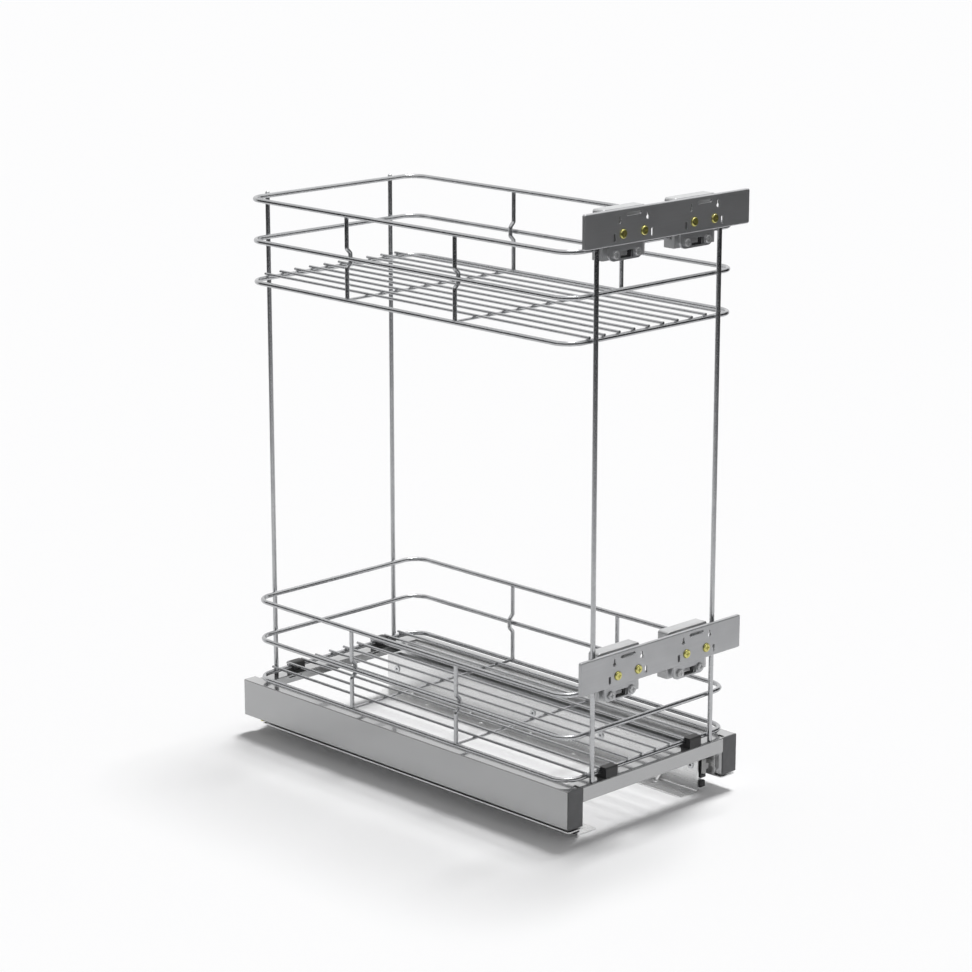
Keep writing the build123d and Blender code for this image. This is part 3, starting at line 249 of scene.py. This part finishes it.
class Look:
    """A node material on the Principled shader, with the textures laid out in the part's own metres."""

    def __init__(self, name, **values):
        self.material = bpy.data.materials.new(name)
        self.material.use_nodes = True
        self.nodes = self.material.node_tree.nodes
        self.links = self.material.node_tree.links
        self.shader = self.nodes["Principled BSDF"]
        self.place = self.nodes.new("ShaderNodeTexCoord").outputs["Object"]
        self.normal = None
        for socket, value in values.items():
            self.shader.inputs[socket.replace("_", " ")].default_value = value

    def scaled(self, scale):
        mapping = self.nodes.new("ShaderNodeMapping")
        mapping.inputs["Scale"].default_value = scale
        self.links.new(self.place, mapping.inputs["Vector"])
        return mapping.outputs["Vector"]

    def noise(self, x, y, z, detail=3.0):
        """Noise with so many waves a metre along x, y and z."""
        texture = self.nodes.new("ShaderNodeTexNoise")
        texture.inputs["Scale"].default_value = 1.0
        texture.inputs["Detail"].default_value = detail
        texture.inputs["Roughness"].default_value = noise_roughness
        self.links.new(self.scaled((x, y, z)), texture.inputs["Vector"])
        return texture.outputs["Fac"]

    def even_noise(self, waves, detail=3.0):
        return self.noise(waves, waves, waves, detail)

    def cells(self, count):
        """Cells of random colours, so many a metre along each axis."""
        texture = self.nodes.new("ShaderNodeTexVoronoi")
        texture.inputs["Scale"].default_value = 1.0
        self.links.new(self.scaled((count, count, count)), texture.inputs["Vector"])
        return texture.outputs["Color"]

    def patches(self, value, colors):
        """Colours that follow each other over the range of a noise texture."""
        node = self.nodes.new("ShaderNodeValToRGB")
        elements = node.color_ramp.elements
        while len(elements) < len(colors):
            elements.new(0.5)
        for number, (element, color) in enumerate(zip(elements, colors)):
            element.position = noise_low + (noise_high - noise_low) * number / (len(colors) - 1)
            element.color = (*color, 1)
        self.links.new(value, node.inputs["Fac"])
        return node.outputs["Color"]

    def spread(self, value, low, high, from_low=noise_low, from_high=noise_high):
        """A texture's values brought to the range from low to high."""
        node = self.nodes.new("ShaderNodeMapRange")
        node.inputs["From Min"].default_value = from_low
        node.inputs["From Max"].default_value = from_high
        node.inputs["To Min"].default_value = low
        node.inputs["To Max"].default_value = high
        self.links.new(value, node.inputs["Value"])
        return node.outputs["Result"]

    def mix_node(self, first, blend):
        node = self.nodes.new("ShaderNodeMix")
        node.data_type = "RGBA"
        node.blend_type = blend
        self.links.new(first, node.inputs["A"])
        return node

    def toned(self, shade, factor, color):
        """One colour worked into a shade by a texture's values."""
        node = self.mix_node(shade, "MIX")
        self.links.new(factor, node.inputs["Factor"])
        node.inputs["B"].default_value = (*color, 1)
        return node.outputs["Result"]

    def overlaid(self, shade, factor, texture):
        node = self.mix_node(shade, "OVERLAY")
        node.inputs["Factor"].default_value = factor
        self.links.new(texture, node.inputs["B"])
        return node.outputs["Result"]

    def color(self, value):
        self.links.new(value, self.shader.inputs["Base Color"])

    def roughness(self, value, low, high):
        self.links.new(self.spread(value, low, high), self.shader.inputs["Roughness"])

    def round_edges(self, radius):
        node = self.nodes.new("ShaderNodeBevel")
        node.samples = 4
        node.inputs["Radius"].default_value = radius
        self.normal = node.outputs["Normal"]
        self.links.new(self.normal, self.shader.inputs["Normal"])

    def bump(self, height, distance, strength):
        node = self.nodes.new("ShaderNodeBump")
        node.inputs["Distance"].default_value = distance
        node.inputs["Strength"].default_value = strength
        self.links.new(height, node.inputs["Height"])
        if self.normal:
            self.links.new(self.normal, node.inputs["Normal"])
        self.normal = node.outputs["Normal"]
        self.links.new(self.normal, self.shader.inputs["Normal"])


def satin_wire():
    """Drawn steel wire with satin chrome plating."""
    look = Look("satin_wire", Metallic=1.0)
    cloud = look.even_noise(45)
    grain = look.even_noise(900, detail=4.0)
    shade = look.patches(cloud, wire_colors)
    look.color(look.toned(shade, look.spread(grain, low=0.0, high=0.25), wire_grain_color))
    look.roughness(grain, low=0.20, high=0.30)
    look.bump(grain, distance=0.00002, strength=0.5)
    return look.material


def silver_paint():
    """Glossy silver coat with fine metal flakes under a clear layer."""
    look = Look("silver_paint", Metallic=0.72, Coat_Weight=1.0, Coat_Roughness=0.03)
    look.round_edges(0.0004)
    flakes = look.cells(5200)
    cloud = look.noise(x=14, y=9, z=14)
    peel = look.even_noise(300, detail=2.0)
    look.color(look.overlaid(look.patches(cloud, paint_colors), 0.05, flakes))
    look.roughness(peel, low=0.12, high=0.18)
    look.bump(peel, distance=0.00001, strength=0.25)
    return look.material


def brushed(name, colors, lines_along, roughness, metallic=1.0):
    """Rolled or brushed sheet, with its fine lines along x or y."""
    look = Look(name, Metallic=metallic)
    look.round_edges(0.00025)
    if lines_along == "x":
        lines = look.noise(x=14, y=1500, z=1500)
    else:
        lines = look.noise(x=1500, y=14, z=1500)
    cloud = look.even_noise(30, detail=4.0)
    scratches = look.noise(x=90, y=700, z=300, detail=2.0)
    scratched = look.spread(scratches, low=0.0, high=0.25, from_low=0.55, from_high=0.75)
    darkest = colors[0]
    scratch_color = [brushed_scratch_shade * part for part in darkest]
    line_color = [brushed_line_shade * part for part in darkest]
    shade = look.toned(look.patches(cloud, colors), scratched, scratch_color)
    look.color(look.toned(shade, look.spread(lines, low=0.0, high=0.3), line_color))
    look.roughness(lines, *roughness)
    look.bump(lines, distance=0.00001, strength=0.4)
    return look.material


def ball_steel():
    look = Look("ball_steel", Metallic=1.0)
    smear = look.noise(x=600, y=300, z=600)
    look.color(look.patches(smear, ball_colors))
    look.roughness(smear, low=0.06, high=0.16)
    return look.material


def yellow_zinc():
    """Yellow passivated screws, with the greenish and reddish patches of the coat."""
    look = Look("yellow_zinc", Metallic=0.9)
    look.round_edges(0.0002)
    cloud = look.even_noise(330)
    grain = look.even_noise(2500)
    shade = look.patches(cloud, screw_colors)
    look.color(look.toned(shade, look.spread(grain, low=0.0, high=0.2), screw_grain_color))
    look.roughness(grain, low=0.22, high=0.38)
    look.bump(grain, distance=0.00001, strength=0.4)
    return look.material


def moulded(name, colors, roughness):
    """Moulded plastic with a fine spark-eroded surface."""
    look = Look(name)
    look.round_edges(0.0003)
    erosion = look.even_noise(2600, detail=4.0)
    handling = look.even_noise(60)
    look.color(look.patches(handling, colors))
    look.roughness(erosion, *roughness)
    look.bump(erosion, distance=0.00003, strength=0.5)
    return look.material


def plate_finish():
    """Satin grey coat on the front plates and their sliders."""
    look = Look("plate_finish", Metallic=0.6)
    look.round_edges(0.0003)
    lines = look.noise(x=18, y=1600, z=1600)
    cloud = look.even_noise(22)
    shade = look.patches(cloud, plate_colors)
    look.color(look.toned(shade, look.spread(lines, low=0.0, high=0.18), plate_line_color))
    look.roughness(lines, low=0.28, high=0.38)
    look.bump(lines, distance=0.00001, strength=0.35)
    return look.material


looks = {
    "satin_wire": satin_wire(),
    "silver_paint": silver_paint(),
    "zinc_sheet": brushed("zinc_sheet", zinc_colors, "y", roughness=(0.22, 0.36), metallic=0.85),
    "rail_steel": brushed("rail_steel", rail_colors, "y", roughness=(0.26, 0.40)),
    "ball_steel": ball_steel(),
    "yellow_zinc": yellow_zinc(),
    "black_plastic": moulded("black_plastic", black_colors, roughness=(0.38, 0.55)),
    "light_plastic": moulded("light_plastic", light_colors, roughness=(0.30, 0.45)),
    "grey_plastic": moulded("grey_plastic", grey_colors, roughness=(0.34, 0.46)),
    "plate_finish": plate_finish(),
    "adjuster_zinc": brushed("adjuster_zinc", adjuster_colors, "x", roughness=(0.34, 0.48), metallic=0.5),
}


def dress_cad_nodes():
    """Each node gets the look of its slot, but the sliders have the plates' coat."""
    for name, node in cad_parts.items():
        for holder in node.material_slots:
            slot = "plate_finish" if name.endswith("slider") else holder.material.name.split(".")[0]
            holder.material = looks[slot]


def centre_of(node):
    low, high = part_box(node)
    return (low + high) / 2


def add_bead(beads, place, across, upper, size, draw):
    """Saddle-shaped weld nugget: drawn out along the upper wire at one end and the lower at the other."""
    across = Vector(across)
    upper = Vector(upper)
    lower = across.cross(upper)
    rings = []
    for ring in range(weld_rings + 1):
        rise = 2 * ring / weld_rings - 1
        waist = math.sqrt(1 - weld_taper * rise * rise)
        points = []
        for side in range(weld_sides):
            turn = 2 * math.pi * side / weld_sides
            uneven = draw.uniform(-weld_unevenness, weld_unevenness)
            reach = size * waist * (1 + weld_saddle * rise * math.cos(2 * turn) + uneven)
            offset = upper * (reach * math.cos(turn)) + lower * (reach * math.sin(turn))
            height = across * (weld_half_height * size * rise)
            points.append(beads.verts.new(Vector(place) + offset + height))
        rings.append(points)
    for first, second in zip(rings, rings[1:]):
        for side in range(weld_sides):
            following = (side + 1) % weld_sides
            beads.faces.new((first[side], first[following], second[following], second[side]))
    beads.faces.new(list(reversed(rings[0])))
    beads.faces.new(rings[-1])


class BasketWires:
    """Where the wires of one basket run, from the boxes of their nodes."""

    def __init__(self, basket):
        rim_low, rim_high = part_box(f"{basket}_bottom_rim")
        shelf_low, shelf_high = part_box(f"{basket}_shelf_wires")
        cross_low, cross_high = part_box("cross_wires")
        self.rim_radius = (rim_high.z - rim_low.z) / 2
        self.front_y = rim_low.y + self.rim_radius
        self.rear_y = rim_high.y - self.rim_radius
        self.side_x = rim_high.x - self.rim_radius
        self.rim_levels = [centre_of(f"{basket}_{name}_rim").z for name in ("bottom", "middle", "top")]
        self.shelf_bottom = shelf_low.z
        self.shelf_radius = (shelf_high.z - shelf_low.z) / 2
        first = shelf_low.x + self.shelf_radius
        pitch = (shelf_high.x - shelf_low.x - 2 * self.shelf_radius) / (shelf_wire_count - 1)
        self.shelf_xs = [first + number * pitch for number in range(shelf_wire_count)]
        self.cross_ys = (cross_low.y + self.shelf_radius, cross_high.y - self.shelf_radius)


def weld_shelf(beads, wires, draw):
    """Each shelf wire on the two ends of the rim and on both cross wires."""
    for x in wires.shelf_xs:
        for y in (wires.front_y, wires.rear_y):
            add_bead(beads, (x, y, wires.shelf_bottom), z_axis, y_axis, shelf_rim_weld, draw)
        for y in wires.cross_ys:
            add_bead(beads, (x, y, wires.shelf_bottom), z_axis, y_axis, shelf_cross_weld, draw)


def weld_side(beads, wires, side, draw):
    """Cross wires, struts and posts of one side on the rims; side is -1 on the left and 1 on the right."""
    bottom, middle, top = wires.rim_levels
    rim_x = side * wires.side_x
    inner_x = side * (wires.side_x - wires.rim_radius)
    cross_z = wires.shelf_bottom - wires.shelf_radius
    for y in wires.cross_ys:
        add_bead(beads, (inner_x, y, cross_z), x_axis, z_axis, cross_rim_weld, draw)
        add_bead(beads, (rim_x, y, bottom + wires.rim_radius), z_axis, x_axis, strut_end_weld, draw)
        add_bead(beads, (rim_x, y, top - wires.rim_radius), z_axis, x_axis, strut_end_weld, draw)
        add_bead(beads, (inner_x, y, middle), x_axis, z_axis, strut_middle_weld, draw)
    for post, y, outward in (("front", wires.front_y, -1), ("rear", wires.rear_y, 1)):
        x = centre_of(f"{post}_{'left' if side < 0 else 'right'}_post").x
        for z in wires.rim_levels:
            add_bead(beads, (x, y + outward * wires.rim_radius, z), y_axis, z_axis, post_weld, draw)


def add_welds(basket, draw):
    """Every crossing of one basket's wires, in one piece."""
    wires = BasketWires(basket)
    beads = bmesh.new()
    weld_shelf(beads, wires, draw)
    for side in (-1, 1):
        weld_side(beads, wires, side, draw)
    mesh = bpy.data.meshes.new(f"{basket}_welds")
    beads.normal_update()
    beads.to_mesh(mesh)
    beads.free()
    mesh.materials.append(looks["satin_wire"])
    mesh.shade_smooth()
    piece = bpy.data.objects.new(f"{basket}_welds", mesh)
    scene.collection.objects.link(piece)
    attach(piece, "carriage")


def insert_outline():
    """L shape along the window's lower and right edges, with teeth on the upright part."""
    rib_top = insert_rib - insert_half_height
    step = (insert_half_height - rib_top) / (2 * insert_teeth)
    outline = [
        (-insert_half_width, -insert_half_height),
        (insert_half_width, -insert_half_height),
        (insert_half_width, insert_half_height),
    ]
    for corner in range(2 * insert_teeth + 1):
        reach = insert_rib + insert_tooth * (1 + corner % 2)
        outline.append((insert_half_width - reach, insert_half_height - corner * step))
    outline.append((-insert_half_width, rib_top))
    return outline


def add_insert(level, side):
    """Toothed insert on the back of one slider, seen through its window."""
    low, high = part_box(f"{level}_{side}_slider")
    outline = insert_outline()
    count = len(outline)
    vertices = [
        (low.x + insert_x + x, y, low.z + insert_z + z)
        for y in (high.y, high.y + insert_depth)
        for x, z in outline
    ]
    faces = [tuple(range(count)), tuple(reversed(range(count, 2 * count)))]
    for first in range(count):
        second = (first + 1) % count
        faces.append((second, first, first + count, second + count))
    piece = mesh_object(f"{level}_{side}_slider_insert", vertices, faces)
    piece.data.materials.append(looks["black_plastic"])
    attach(piece, f"{level}_sliders")


set_camera()
set_world()
add_key_light()
add_floor()
add_wall()
dress_cad_nodes()
weld_draw = random.Random(weld_seed)
for basket in ("lower", "upper"):
    add_welds(basket, weld_draw)
for level in ("lower", "upper"):
    for side in ("left", "right"):
        add_insert(level, side)
